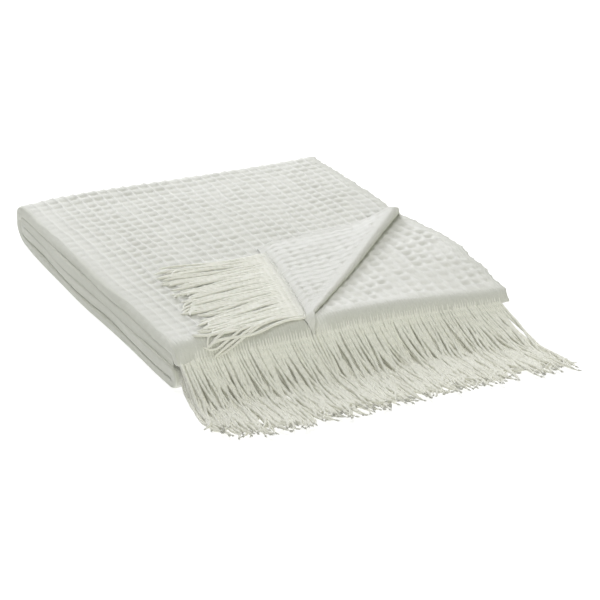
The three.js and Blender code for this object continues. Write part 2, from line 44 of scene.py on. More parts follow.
# The folded stack, in millimetres from its near left corner on the floor. A ply is one layer of
# the cloth, four plies make a bundle, and the throw is four bundles high.
stack = {
    "wide": 317.5,
    "deep": 381.0,
    "thick": 1.8,
    "ply": 2.3,
    "bundle": 10.9,
    "lowest": 4.35,
    "sideFold": 7.0,
    "sideBlunt": 0.14,    # a fold is an ellipse at 1, and squarer the lower this is
    "shoulderBlunt": 0.95,
    "tightFold": 1.3,
    "rightInset": 5.0,
    "backFold": 14.5,
    "midFold": 5.0,
    "frontInset": -8.0,
    "lowerHem": 1.0,
    "hemRoll": 12.0,
    "hemTurn": 86.0,
    "hemFrom": 4.3,
}
outerPly = 1.5 * stack["ply"]
innerPly = 0.5 * stack["ply"]
levels = [stack["lowest"] + k * stack["bundle"] for k in range(4)]
hemAt = -stack["hemRoll"] * math.radians(stack["hemTurn"])
pathPoints = {"perMillimetre": 4, "perFold": 90}


# Paths that the cloth follows
def blunted(value, blunt):
    # a sine or cosine pushed out towards 1, so that a round fold becomes a flatter one
    return np.sign(value) * np.abs(value) ** blunt


def pathOf(rows):
    # rows are straight runs and parts of ellipses, one after the other
    points, ends = [], []
    for row in rows:
        if "to" in row:
            a, b = np.array(row["from"], float), np.array(row["to"], float)
            count = max(2, int(pathPoints["perMillimetre"] * np.linalg.norm(b - a)))
            part = a + (b - a) * np.linspace(0, 1, count)[:, None]
        else:
            angle = np.radians(np.linspace(row["turn"][0], row["turn"][1], pathPoints["perFold"]))
            blunt = row.get("blunt", 1.0)
            part = np.column_stack([
                row["centre"][0] + row["wide"] * blunted(np.cos(angle), blunt),
                row["centre"][1] + row["high"] * blunted(np.sin(angle), blunt),
            ])
        points.append(part if not points else part[1:])
        ends.append(sum(len(p) for p in points) - 1)
    at = np.vstack(points)
    long = np.concatenate([[0], np.cumsum(np.linalg.norm(np.diff(at, axis=0), axis=1))])
    tangent = np.gradient(at, long, axis=0)
    tangent /= np.linalg.norm(tangent, axis=1)[:, None]
    return {"long": long, "at": at, "tangent": tangent, "ends": [long[e] for e in ends]}


def onPath(path, distance):
    # place and direction at a distance along a path
    columns = (*path["at"].T, *path["tangent"].T)
    a, b, ta, tb = [np.interp(distance, path["long"], column) for column in columns]
    size = np.hypot(ta, tb)
    return a, b, ta / size, tb / size


def sectionRows():
    # through one bundle: x and the height over the bundle's middle
    wide, side, tight = stack["wide"], stack["sideFold"], stack["tightFold"]
    right = wide - stack["rightInset"]
    return [
        {"from": (wide, outerPly), "to": (side, outerPly)},
        {"centre": (side, 0), "wide": side, "high": outerPly, "turn": (90, 270),
         "blunt": stack["sideBlunt"]},
        {"from": (side, -outerPly), "to": (right, -outerPly)},
        {"centre": (right, -stack["ply"]), "wide": tight, "high": innerPly, "turn": (-90, 90)},
        {"from": (right, -innerPly), "to": (side, -innerPly)},
        {"centre": (side, 0), "wide": tight, "high": innerPly, "turn": (270, 90)},
        {"from": (side, innerPly), "to": (wide, innerPly)},
    ]


def stackRows():
    # through the four bundles: y and z of a bundle's middle, from the top bundle's hem
    half = outerPly + stack["thick"] / 2
    back = stack["deep"] - stack["backFold"] - half
    front = stack["frontInset"] + stack["midFold"] + half
    roll, mid, step = stack["hemRoll"], stack["midFold"], stack["bundle"] / 2
    whole, lower, upper = [(levels[a] + levels[b]) / 2 for a, b in ((0, 3), (0, 1), (1, 2))]
    return [
        {"centre": (stack["hemFrom"], levels[3] - roll), "wide": roll, "high": roll,
         "turn": (90 + stack["hemTurn"], 90)},
        {"from": (stack["hemFrom"], levels[3]), "to": (back, levels[3])},
        {"centre": (back, whole), "wide": stack["backFold"], "high": 1.5 * stack["bundle"],
         "turn": (90, -90)},
        {"from": (back, levels[0]), "to": (front, levels[0])},
        {"centre": (front, lower), "wide": mid, "high": step, "turn": (270, 90)},
        {"from": (front, levels[1]), "to": (back, levels[1])},
        {"centre": (back, upper), "wide": mid, "high": step, "turn": (-90, 90)},
        {"from": (back, levels[2]), "to": (stack["lowerHem"], levels[2])},
    ]


sectionPath = pathOf(sectionRows())
stackPath = pathOf(stackRows())
clothWide, clothLong = sectionPath["long"][-1], stackPath["long"][-1]
print(f"cloth {clothWide:.0f} by {clothLong:.0f} mm")


def smooth(t):
    t = np.clip(t, 0, 1)
    return t * t * (3 - 2 * t)


def rise(value, start, over):
    # from 0 at the start to 1 that much further on
    return smooth((value - start) / over)


def between(first, last, share):
    return first + (last - first) * share


def ripple(x, y, seed):
    # smooth unevenness, about -1 to 1, with a period of about one in x and y
    rng = np.random.default_rng(seed)
    total = 0
    for k in range(5):
        turn, phase, pace = rng.uniform(0, 2 * np.pi, 2).tolist() + [rng.uniform(3.5, 8)]
        total = total + np.sin(pace * (x * np.cos(turn) + y * np.sin(turn)) + phase)
    return total / 3


def uneven(*numbers):
    # one repeatable value from -1 to 1 for whole numbers
    mixed = sum(n * k for n, k in zip(numbers, (12.9898, 78.233, 37.719))) + 4.1414
    value = np.sin(mixed) * 43758.5453
    return 2 * (value - np.floor(value)) - 1


def table(columns, rows):
    # rows of values under the names of their columns
    return [dict(zip(columns.split(), row)) for row in rows]


# How the stack lies
settled = {
    # soft dents: each lowers what lies there by a share of its height, or raises it below 0
    "dents": table("x y wide deep share", [
        (-4, 190, 19, 600, 0.12),
        (335, 0, 88, 55, 0.2),
        (106, 333, 75, 13, 0.035),
        (175, 250, 120, 110, -0.02),
        (260, 381, 130, 70, 0.06),
        (70, 390, 90, 60, -0.03),
        (5, -12, 60, 30, -0.09),
        (70, 110, 60, 45, 0.015),
    ]),
    "waves": {"share": 0.01, "long": 150},
    "hemEdge": (-2, 30),    # the near edge waves up and down, and in and out
    "hemHigh": {"share": 0.05, "long": 170},
    "hemOut": {"size": 1.0, "long": 120},
    "sidePaintedShade": (0.5, 5),    # how much of their own shade the side folds show, and how far in
    # how much painted shade the side folds get, and how far in
    "plump": {"under": 0.06, "over": 0.3, "others": 0.6, "rise": 9, "from": 4, "reach": 16},
}
# how far the side folds stand out of the stack on the left, in its top and its lowest bundle
sideEdges = table("y top lowest", [
    (-20, 0.0, 0.0),
    (60, -0.5, 1.5),
    (120, -1.5, 3.5),
    (200, 1.0, 4.5),
    (270, 1.5, 3.5),
    (330, 1.0, 1.5),
    (381, 1.5, -1.0),
])
sideWaves = [
    # small waves on top of those, which differ from layer to layer
    {"size": 1.1, "long": 190, "layers": 1.2, "seed": 4},
    {"size": 0.35, "long": 60, "layers": 3, "seed": 9},
]
# how far the second ply stands out on the right, where the corner is turned back
freeEdge = table("y out", [
    (-17, 6.0),
    (12, 8.0),
    (42, 12.5),
    (60, 11.5),
    (90, 15.5),
    (110, 14.5),
    (144, 8.0),
    (185, 2.5),
    (230, 1.0),
    (381, 0.5),
])
freeWaves = {
    # each span: the x where it starts to show, and over how much
    "span": (200, 117), "size": 0.8, "long": 45,
    "edgeSpan": (285, 32), "edgeLong": (90, 30), "edgeSize": (0.9, 0.7),
    "nub": 1.2, "nubSpan": (300, 17),
}


def fromTable(rows, column, y):
    # a smooth line through a table of sizes by y
    first, last, rounded = -40, 420, 15
    fine = np.linspace(first, last, last - first + 1)
    values = np.interp(fine, [r["y"] for r in rows], [r[column] for r in rows])
    kernel = np.hanning(2 * rounded + 1)
    padded = np.pad(values, rounded, mode="edge")
    return np.interp(y, fine, np.convolve(padded, kernel / kernel.sum(), mode="valid"))


def settle(x, y, z):
    share = 1.0
    for d in settled["dents"]:
        away = -((x - d["x"]) / d["wide"]) ** 2 - ((y - d["y"]) / d["deep"]) ** 2
        share = share - d["share"] * np.exp(away)
    waves, high, out = settled["waves"], settled["hemHigh"], settled["hemOut"]
    share = share + waves["share"] * ripple(x / waves["long"], y / waves["long"], 3)
    front = 1 - rise(y, *settled["hemEdge"])
    share = share + high["share"] * front * ripple(x / high["long"], 0.3, 12)
    y = y + out["size"] * front * ripple(x / out["long"], 0.7, 22)
    return x, y, z * share


def sideShift(y, z):
    # each bundle lies a little aside of the next, and the side bulges along the stack
    high = np.clip((z - levels[0]) / (levels[3] - levels[0]), 0, 1)
    shift = -(fromTable(sideEdges, "lowest", y) * (1 - high) + fromTable(sideEdges, "top", y) * high)
    for wave in sideWaves:
        shift = shift + wave["size"] * ripple(y / wave["long"], high * wave["layers"], wave["seed"])
    return shift


def inStack(x, height, distance):
    # from an x, a height in the bundle and a distance from the hem along the throw
    inside = np.clip(distance, 0, clothLong)
    past = inside - distance
    middleY, middleZ, ty, tz = onPath(stackPath, inside)
    y = middleY - ty * past - tz * height
    z = middleZ - tz * past + ty * height
    x = x + sideShift(middleY, middleZ) * (1 - smooth(x / stack["wide"]))
    return settle(x, y, z)


def toFrame(x, y, z):
    # to metres, from the middle of the stack's base
    return np.column_stack([(x - stack["wide"] / 2) * mm, (y - stack["deep"] / 2) * mm, z * mm])


# The corner turned back along a slanting fold
corner = {
    "line": 133.0,
    "upright": 0.65,    # how far the fold's foot on the hem's face is turned upright
    "rollWide": (0.7, 6.8),    # at the fold's foot and at the selvedge, and so the next two
    "rollHigh": (0.5, 4.9),
    "rollMiddle": (0.6, 5.8),
    "rollBlunt": 0.66,
    "steepest": 0.02,
    "settle": 42.0,
    "lift": (0.35, 2.7, 1.3),    # at the foot, in the middle and along the selvedge
    "liftReach": 80,
    "selvedge": (-30, 28),    # where that change starts, from the selvedge, and over how much
    "slack": 3.0,
    "slackReach": 20,
    "gather": 0.15,
    "draw": 0.15,
    "bow": 1.5,
    "thin": (0.3, 40),    # how thick the cloth is at the foot, as a share, and how far on it is whole
    "sink": 0.9,    # how far the fold presses down into the second ply
    "sinkFrom": 18,
    "sinkTo": (0.35, 0.5),
    "sinkAlong": 30,
    # painted shade on the roll's face: how far before the fold line it rises, and where it fades as a
    # share of the roll
    "shadeFrom": 3,
    "shadeTo": (0.3, 0.35),
    "faceRoom": (1.5, 22),    # least and most distance over which the other side comes up
    "faceEarly": 1.5,    # how far before the line it is all there
}
cornerRun = (stack["wide"] - corner["line"] - hemAt) * math.sqrt(2)


def turnedBack(x, distance, offset):
    # x, height and distance of a place of the top ply, and how far it is past the fold line
    v = distance + hemAt
    x = x + corner["upright"] * np.minimum(v, 0)
    along = ((x - corner["line"] - hemAt) + (v - hemAt)) / math.sqrt(2)
    over = (x - corner["line"] - v) / math.sqrt(2)
    share = np.clip(along / cornerRun, 0, 1)
    wide, high = between(*corner["rollWide"], share), between(*corner["rollHigh"], share)
    roll = np.pi * np.sqrt((wide ** 2 + high ** 2) / 2)
    turned = np.clip(over / roll, 0, 1) * np.pi
    sine, cosine, blunt = np.sin(turned), np.cos(turned), corner["rollBlunt"]
    flat = np.maximum(over - roll, 0)
    slack = corner["slack"] * smooth(flat / corner["slackReach"])
    out = wide * blunted(sine, blunt) - flat * (1 - corner["gather"]) + slack
    up = high * (1 - blunted(cosine, blunt))
    foot, middle, side = corner["lift"]
    onEdge = rise(x - stack["wide"], *corner["selvedge"])
    lift = foot + (middle - foot) * smooth(along / corner["liftReach"]) + (side - middle) * onEdge
    fallen = lift + (2 * high - lift) * (1 - smooth(flat / corner["settle"]))
    up = np.where(flat > 0, fallen, up)
    tx = wide * cosine * np.maximum(np.abs(sine), corner["steepest"]) ** (blunt - 1)
    tz = high * sine * np.maximum(np.abs(cosine), corner["steepest"]) ** (blunt - 1)
    size = np.hypot(tx, tz)
    out = out - tz / size * offset
    up = up + tx / size * offset
    base = hemAt + along / math.sqrt(2)
    drawn = corner["draw"] * np.maximum(-out, 0)
    bow = corner["bow"] * np.sin(np.pi * share)
    newX = corner["line"] + base + (out + bow) / math.sqrt(2) + drawn
    newV = base - (out + bow) / math.sqrt(2)
    newX = newX - corner["upright"] * np.minimum(newV, 0)
    return newX, outerPly + up, newV - hemAt, over, along


# The weave, by distances u across and v along the flat cloth
weave = {
    "cellAcross": 10.95,
    "cellAlong": 12.5,
    "relief": 2.3,
    "reliefVaries": (0.15, 70),    # by how much, and over what length
    "cellVaries": 0.4,
    "lengthwise": (0.86, 0.14, 4),    # height of a wall, how much it varies and how thin it is
    "crosswise": (0.66, 0.34, 2),    # the same, and how wide it is
    "both": 0.6,    # how much the crosswise walls count
    "thick": 0.6,
    "edge": 0.75,
    "hemBand": 15.0,
    "hemFade": 10.0,
    "hemTurned": (0.5, 4.0),    # how much of that width and fade is lost on the turned-back corner
    "hemRib": 2.9,
    "ribHigh": (0.55, 0.5),    # and how much lower further in
    "selvedge": 3.5,
    "selvedgeFade": 3,
    "swell": (0.12, 40),
    "wander": 2.0,
    "wanderLong": ((150, 80), (60, 30)),    # length and width of the long and the short bends
    "wanderShort": 0.35,    # share of the short ones
    "onRoll": 0.65,    # how much lower the weave is on the fold, and on the turned-back corner
    "onTurned": 0.3,
    "onSecond": (0.35, 4, 12),    # how much higher it is on the second ply, from where and over what
    "rollFrom": (-6, 6),    # where the fold starts and ends, past its line
    "rollTo": (14, 10),
    "backFrom": (40, 60),    # where past the right fold the back faces out, and over what
    "pulled": (0.35, 12, 26),    # how high it is along the left side, from where it rises and over what
}


def woven(u, v):
    # the yarns wander a little from the flat cloth's straight lines
    wander, short = weave["wander"], weave["wanderShort"]
    (a, b), (c, d) = weave["wanderLong"]
    across = u + wander * (ripple(u / a, v / b, 5) + short * ripple(u / c, v / d, 15))
    along = v + wander * (ripple(u / b, v / a, 6) + short * ripple(u / d, v / c, 16))
    return across, along


def waved(distance):
    # from 0 to 1 and back in each whole unit, with 1 at the units
    return 0.5 + 0.5 * np.cos(2 * np.pi * distance)


def weaveHeight(u, v, band):
    # height of the waffle's walls over its cells, and plain cloth along hems and selvedges
    across, along = woven(u, v)
    across, along = across / weave["cellAcross"], along / weave["cellAlong"]
    a, b = waved(across), waved(along)
    cell = uneven(np.floor(across), np.floor(along))
    high, varies, thin = weave["lengthwise"]
    lengthwise = (high + varies * uneven(np.rint(across), np.floor(along))) * a ** thin
    high, varies, thin = weave["crosswise"]
    crosswise = (high + varies * uneven(np.floor(across), np.rint(along))) * (1 - (1 - b) ** thin)
    both = 1 - (1 - lengthwise) * (1 - crosswise)
    wall = weave["both"] * both + (1 - weave["both"]) * lengthwise
    depth = weave["relief"] * (1 + weave["cellVaries"] * cell * (1 - a) * (1 - b))
    varies, long = weave["reliefVaries"]
    depth = depth * (1 + varies * ripple(u / long, v / long, 17))
    inside = np.minimum(u, clothWide - u) - weave["selvedge"]
    side = smooth(inside / weave["selvedgeFade"])
    ribHigh, ribLess = weave["ribHigh"]
    ribs = ribHigh * waved(across * weave["cellAcross"] / weave["hemRib"] / 2)
    ribs = ribs * (1 - ribLess * smooth(np.minimum(v, clothLong - v) / weave["hemBand"]))
    swell, long = weave["swell"]
    plain = ribs * band + swell * ripple(u / long, v / long, 13)
    return depth * (wall - 0.5) * (1 - band) * side + plain


def hemBand(v, turned):
    # 1 in the plain bands along the hems, narrower on the turned-back corner
    lessWide, lessFade = weave["hemTurned"]
    wide = weave["hemBand"] * (1 - lessWide * turned)
    fade = weave["hemFade"] - lessFade * turned
    return 1 - smooth((np.minimum(v, clothLong - v) - wide) / fade)


# Lines of the cloth's mesh, closer where it shows
lines = {
    "fine": (1.565, 1.786),
    "coarse": (36.0, 30.0),
    "fold": (1.2, 3.4),
    "tight": 1.2,
    "roll": 1.6,
    "secondFrom": 132.0,
    "secondStep": 1.85,
    "under": 0.9,    # how far the edge turns under, as a share of a half turn
    "underSteps": (0.33, 0.66, 1),
    "topFade": 12,    # the relief comes up or fades over these, where the fine lines start or end
    "firstFade": 4,
    "secondFade": 6,
}


def evenly(start, end, step):
    count = max(1, int(round((end - start) / step)))
    return np.linspace(start, end, count + 1)[1:].tolist()


def withEdges(middle):
    # the same lines with a few past both ends, where the cloth's edge turns under
    under = weave["edge"] * np.pi * lines["under"]
    before = [-under * k for k in reversed(lines["underSteps"])]
    return before + [0.0] + middle + [middle[-1] + under * k for k in lines["underSteps"]]


def acrossLines():
    ends, coarse, tight = sectionPath["ends"], lines["coarse"][0], lines["tight"]
    secondFrom = ends[5] + lines["secondFrom"]
    return withEdges(
        evenly(0, ends[0], lines["fine"][0])
        + evenly(ends[0], ends[1], lines["fold"][0])
        + evenly(ends[1], ends[2], coarse)
        + evenly(ends[2], ends[3], tight)
        + evenly(ends[3], ends[4], coarse)
        + evenly(ends[4], ends[5], tight)
        + evenly(ends[5], secondFrom, coarse)
        + evenly(secondFrom, ends[6], lines["secondStep"])
    )


def alongLines():
    ends = stackPath["ends"]
    result = evenly(0, ends[0], lines["roll"]) + evenly(ends[0], ends[1], lines["fine"][1])
    for k in range(2, len(ends)):
        step = lines["coarse"][1] if k % 2 else lines["fold"][1]
        result += evenly(ends[k - 1], ends[k], step)
    return withEdges(result)


def relieved(u, v):
    # the weave is raised only where the mesh is fine enough to show it
    ends, runs = sectionPath["ends"], stackPath["ends"]
    top = 1 - smooth((v - runs[1]) / lines["topFade"])
    first = 1 - smooth((u - ends[0]) / lines["firstFade"])
    second = smooth((u - ends[5] - lines["secondFrom"]) / lines["secondFade"])
    least, start, reach = weave["pulled"]
    pulled = least + (1 - least) * smooth((ends[0] + stack["sideFold"] - u - start) / reach)
    return top * np.maximum(first * pulled, second)


def bluntReach(angle, blunt):
    # how far out a blunted circle lies at an angle
    return (np.cos(angle) ** (2 / blunt) + np.sin(angle) ** (2 / blunt)) ** (-blunt / 2)


def shoulder(x, height):
    # the top bundle's upper left edge is round, where the other folds are pressed square
    side = stack["sideFold"]
    left, up = np.maximum(side - x, 0) / side, np.maximum(height, 0) / outerPly
    angle = np.arctan2(up, left)
    share = bluntReach(angle, stack["shoulderBlunt"]) / bluntReach(angle, stack["sideBlunt"])
    share = np.where((left > 0) & (up > 0), share, 1)
    return np.where(x < side, side - (side - x) * share, x), height * share


def plumped(x, height, runHigh, runWay):
    # the bundles are fuller at their side folds. runWay is -1 where a bundle lies upside down.
    size = settled["plump"]
    lowest = between(size["under"], size["over"], smooth(height * runWay / outerPly + 0.5))
    share = between(lowest, size["others"], smooth((runHigh - levels[0]) / size["rise"]))
    return height * (1 + share * (1 - smooth((x - size["from"]) / size["reach"])))


def sideShown(u, topPly, over, along):
    # the share that is turned back, and 1 where the face shows and -1 where the back does
    room = np.clip(0.5 * np.minimum(along, cornerRun - along), *corner["faceRoom"])
    turned = np.where(topPly, smooth((over + room + corner["faceEarly"]) / room), 0)
    back = rise(u - sectionPath["ends"][3], *weave["backFrom"])
    return turned, 1 - 2 * np.maximum(turned, back)


def foldSinkAndPaintedShade(x, topPly, over, along):
    # how far the turned corner's fold sinks, and the painted shade on its roll and on the left side
    # folds
    rolled = np.pi * between(*corner["rollMiddle"], np.clip(along / cornerRun, 0, 1))
    past = over / rolled
    low = smooth(over / corner["sinkFrom"] + 1) * (1 - rise(past, *corner["sinkTo"]))
    sunk = np.where(topPly, corner["sink"] * low * smooth(along / corner["sinkAlong"]), 0)
    # painted shade on the roll's face, which faces away from the light
    onRoll = smooth(over / corner["shadeFrom"] + 1) * (1 - rise(past, *corner["shadeTo"]))
    # painted shade on the left side folds
    sidePaintedShade, sideWide = settled["sidePaintedShade"]
    paintedOnSide = sidePaintedShade * smooth((sideWide - x) / sideWide)
    return sunk, np.maximum(np.where(topPly, onRoll, 0), paintedOnSide)


def freeShift(u, v, x, onTop):
    # how far the top bundle's selvedges lie out of line, on the right
    size = freeWaves
    y, _, _, _ = onPath(stackPath, v)
    bulge = fromTable(freeEdge, "out", y) + size["size"] * ripple(v / size["long"], 0, 7)
    bulge = bulge * rise(x, *size["span"])
    slow, fast = [v / long for long in size["edgeLong"]]
    edge = size["edgeSize"][0] * ripple(slow, 3, 8) + size["edgeSize"][1] * ripple(fast, 5, 10)
    edge = edge * rise(x, *size["edgeSpan"])
    nub = waved(woven(u, v)[1] / weave["cellAlong"]) ** 3
    edge = edge + size["nub"] * nub * rise(x, *size["nubSpan"])
    return np.where(onTop & (u > sectionPath["ends"][5]), bulge, 0) + np.where(onTop, edge, 0)


def foldCloth(u, v):
    # from the flat cloth to its place in the frame, with what its material reads of each point
    ends = sectionPath["ends"]
    insideU, insideV = np.clip(u, 0, clothWide), np.clip(v, 0, clothLong)
    x, height, tx, th = onPath(sectionPath, insideU)
    _, runHigh, runWay, _ = onPath(stackPath, insideV)
    onTop = insideV <= stackPath["ends"][1]
    roundX, roundHeight = shoulder(x, height)
    outer = onTop & (insideU < (ends[0] + ends[1]) / 2)
    x, height = np.where(outer, roundX, x), np.where(outer, roundHeight, height)
    height = plumped(x, height, runHigh, runWay)
    topPly = onTop & (insideU <= ends[0])
    _, _, _, over, along = turnedBack(x, insideV, np.zeros_like(x))
    turned, face = sideShown(insideU, topPly, over, along)

    # the cloth's edges turn under, so that they look as thick as the cloth
    curlU, curlV = np.abs(u - insideU) / weave["edge"], np.abs(v - insideV) / weave["edge"]
    outU = weave["edge"] * np.sin(curlU) * np.sign(u - insideU)
    outV = weave["edge"] * np.sin(curlV) * np.sign(v - insideV)
    under = weave["edge"] * (2 - np.cos(curlU) - np.cos(curlV))

    onRoll = rise(over, *weave["rollFrom"]) * (1 - rise(over, *weave["rollTo"]))
    onRoll = np.where(topPly, onRoll, 0)
    relief = relieved(insideU, insideV)
    relief = relief * (1 - weave["onRoll"] * onRoll) * (1 - weave["onTurned"] * turned)
    more, start, reach = weave["onSecond"]
    higher = 1 + more * rise(over, start, reach)
    relief = relief * np.where(onTop & (insideU > ends[5]), higher, 1)
    band = hemBand(insideV, turned)
    raised = weaveHeight(insideU, insideV, band) * relief
    offset = face * (weave["thick"] + raised - under)
    sunk, foldShadePainted = foldSinkAndPaintedShade(x, topPly, over, along)
    shift = freeShift(insideU, insideV, x, onTop)

    thin, thinReach = corner["thin"]
    thinned = offset * between(thin, 1, smooth(along / thinReach))
    turnedX, turnedHeight, turnedV, _, _ = turnedBack(x + tx * outU + shift, insideV + outV, thinned)
    use = topPly & (over > 0)
    finalX = np.where(use, turnedX, x + th * offset + tx * outU + shift)
    finalHeight = np.where(use, turnedHeight, height - tx * offset + th * outU) - sunk
    finalV = np.where(use, turnedV, insideV + outV)
    # fold carries the painted shade for the corner's roll and the left side folds
    shares = {"reverse": (1 - face) / 2, "relief": relief, "hemBand": band, "fold": foldShadePainted}
    return toFrame(*inStack(finalX, finalHeight, finalV)), shares


def newObject(name, data):
    made = bpy.data.objects.new(name, data)
    bpy.context.scene.collection.objects.link(made)
    return made


def makeCloth():
    us, vs = np.array(acrossLines()), np.array(alongLines())
    bm = bmesh.new()
    bmesh.ops.create_grid(bm, x_segments=len(us) - 1, y_segments=len(vs) - 1, size=0.5)
    bmesh.ops.reverse_faces(bm, faces=bm.faces)
    mesh = bpy.data.meshes.new("throwCloth")
    bm.to_mesh(mesh)
    bm.free()
    flat = np.empty(len(mesh.vertices) * 3, dtype=np.float32)
    mesh.vertices.foreach_get("co", flat)
    flat = flat.reshape(-1, 3)
    i = np.rint((flat[:, 0] + 0.5) * (len(us) - 1)).astype(int)
    j = np.rint((flat[:, 1] + 0.5) * (len(vs) - 1)).astype(int)
    u, v = us[i], vs[j]
    placed, shares = foldCloth(u, v)
    mesh.vertices.foreach_set("co", placed.astype(np.float32).ravel())
    for name, share in shares.items():
        values = mesh.attributes.new(name, "FLOAT", "POINT").data
        values.foreach_set("value", share.astype(np.float32))

    # the UV map is the flat cloth in metres, with the yarns' wander
    loops = np.empty(len(mesh.loops), dtype=np.int32)
    mesh.loops.foreach_get("vertex_index", loops)
    flatCloth = np.column_stack(woven(u, v))[loops] * mm
    mesh.uv_layers.new(name="flatCloth").data.foreach_set("uv", flatCloth.astype(np.float32).ravel())
    mesh.polygons.foreach_set("use_smooth", [True] * len(mesh.polygons))
    mesh.update()
    print(f"cloth: {len(us)} by {len(vs)} lines, {len(mesh.polygons)} faces")
    return newObject("throwCloth", mesh)


# The fringe
fringe = {
    "long": 112.0,
    "longVaries": 9.0,
    "shorterLeft": 18,
    "longerRight": 5,
    "radius": 1.25,
    "thick": (0.86, 1.1),    # thinnest and thickest strand
    "knobs": (0.06, 3.1),    # how uneven a strand is, and over what length
    "tip": (0.85, 0.1),
    "rootFlare": 1.1,
    "flareLong": 12,
    "points": 26,
    "sides": 7,
    "seed": 11,
    "placeVaries": 0.12,
    "landVaries": 2,
    "landsRight": 0.3,
    "lieVaries": 0.3,
    "heading": {"all": 0.02, "left": -0.13, "right": 0.08, "varies": 0.045},
    "lock": (0.055, 55, 0.7),    # loose locks: how much, how wide, step to the next row
    "leftEnd": (50, 50),    # where the fringe's ends start and over what distance
    "rightEnd": (240, 75),
    "bend": (1.4, 1.9),    # how suddenly a strand falls
    "leastLand": 1.4,
    "swell": 1.8,
    "lying": (0.3, 9, 20),    # small waves of the part that lies: height, length and fade
    "steepest": 0.05,
    "straight": 40,
    "sway": (0.15, 12, 26),
    "swayFrom": (8, 36),
    "hook": 0.45,    # how a strand's last stretch turns aside, and how far a fifth of them do
    "hooked": (0.2, 0.9),
    "hookLong": 20,
    "clear": 1.17,    # the least height over the floor, in radii
    "lead": [(9.0, 0.6, 0.2), (4.5, 0.5, 0.6)],    # how far inside its hem, how deep, how thick
}
# each row: its run of the section, its hem, where it lands, how high it lies, and its strands
fringeRows = table("piece run hem lands lies from to pitch", [
    ("fringeTopPly", 0, "near", 62, 4.8, 3, 127, 2.6),
    ("fringeSecondPly", 6, "near", 60, 3.9, 4, 310, 2.4),
    ("fringeUnder", 4, "near", 54, 3.0, 6, 310, 2.7),
    ("fringeUnder", 2, "near", 49, 2.4, 4, 310, 2.9),
    ("fringeLower", 2, "far", 44, 2.0, 7, 313, 4.1),
    ("fringeLower", 4, "far", 40, 1.7, 6, 312, 4.3),
    ("fringeLower", 6, "far", 36, 1.4, 6, 314, 4.3),
    ("fringeLower", 0, "far", 32, 1.3, 5, 315, 4.3),
])
rootInside = 1.2
rootRaised = 0.25
rootEdge = -12.0    # the y at which the second ply's edge is read
anyPhase = (0, 6)


def rootOf(run, hem, x, inside=rootInside, raised=rootRaised):
    # where a strand leaves a hem, just inside the cloth's edge
    ply = {0: outerPly + raised, 2: -outerPly, 4: -innerPly, 6: innerPly + raised}[run]
    distance = inside if hem == "near" else clothLong - inside
    shift = 0.0
    if run == 6 and hem == "near":
        atSide = float(rise(x, *freeWaves["span"]))
        shift = float(fromTable(freeEdge, "out", rootEdge)) * atSide
    spot = inStack(np.array([x + shift]), np.array([ply]), np.array([distance]))
    return [float(axis[0]) for axis in spot]


def addedUp(steps):
    return np.concatenate([[0], np.cumsum(steps[1:])])


def strandPath(root, lands, lies, long, heading, rng):
    # a strand of a fixed length: down from its root in a soft slope, then along the floor
    s = long * np.linspace(0, 1, fringe["points"])
    x0, y0, z0 = root
    lands = max(lands, (z0 - lies) * fringe["leastLand"])
    t = np.clip(s / lands, 0, 1)
    z = lies + (z0 - lies) * (1 - t) ** rng.uniform(*fringe["bend"])
    wave, waveLong, waveOver = fringe["lying"]
    z = z + wave * np.sin(s / waveLong + rng.uniform(*anyPhase)) * smooth((s - lands) / waveOver)
    z = z + rng.uniform(0, fringe["swell"]) * np.sin(np.pi * t) ** 2
    forward = np.sqrt(np.maximum(1 - np.gradient(z, s) ** 2, fringe["steepest"]))

    turn = heading * smooth(s / fringe["straight"])
    sway, shortest, longest = fringe["sway"]
    swung = np.sin(s / rng.uniform(shortest, longest) + rng.uniform(*anyPhase))
    turn = turn + sway * swung * rise(s, *fringe["swayFrom"])
    chance, most = fringe["hooked"]
    hook = rng.normal(0, fringe["hook"]) + (most * rng.choice([-1, 1]) if rng.random() < chance else 0)
    turn = turn + hook * smooth((s - long + fringe["hookLong"]) / fringe["hookLong"]) ** 2
    step = long / (fringe["points"] - 1)
    x = x0 + addedUp(forward * np.sin(turn)) * step
    y = y0 - addedUp(forward * np.cos(turn)) * step
    return np.column_stack([x, y, np.maximum(z, fringe["clear"] * fringe["radius"])])


def addStrand(curve, points, radii):
    spline = curve.splines.new("POLY")
    spline.points.add(len(points) - 1)
    placed = toFrame(*points.T)
    spline.points.foreach_set("co", np.column_stack([placed, np.ones(len(placed))]).ravel())
    spline.points.foreach_set("radius", radii)
    spline.use_smooth = True


tipThread = {
    "long": (1.2, 3.2),
    "spread": (0.25, 0.3),
    "inside": 0.8,
    "apart": 0.4,
    "lowest": 0.6,
    "radii": (0.45, 0.42, 0.36, 0.05),
}


def tipThreads(curve, points, rng):
    # a cut end frays into two short threads
    end, way = points[-1], points[-1] - points[-2]
    way = way / np.linalg.norm(way)
    side = np.array([way[1], -way[0], 0])
    inside, apart = tipThread["inside"], tipThread["apart"]
    share = np.linspace(0, 1, len(tipThread["radii"]))[:, None]
    for k in (-1, 1):
        long = rng.uniform(*tipThread["long"])
        spread = rng.normal(tipThread["spread"][0] * k, tipThread["spread"][1])
        aside = spread * long * share ** 1.5 + apart * k * (1 - share)
        thread = end - way * inside + way * (long + inside) * share + side * aside
        thread[:, 2] = np.maximum(thread[:, 2], tipThread["lowest"])
        addStrand(curve, thread, tipThread["radii"])


def strandRadii(rng, long):
    s = np.linspace(0, long, fringe["points"])
    flare = (fringe["rootFlare"] - 1) * (1 - smooth(s / fringe["flareLong"]))
    radii = rng.uniform(*fringe["thick"]) * (1 + flare)
    knobs, knobLong = fringe["knobs"]
    radii = radii * (1 + knobs * np.sin(s / knobLong + rng.uniform(*anyPhase)))
    radii[-2:] *= fringe["tip"]
    return radii


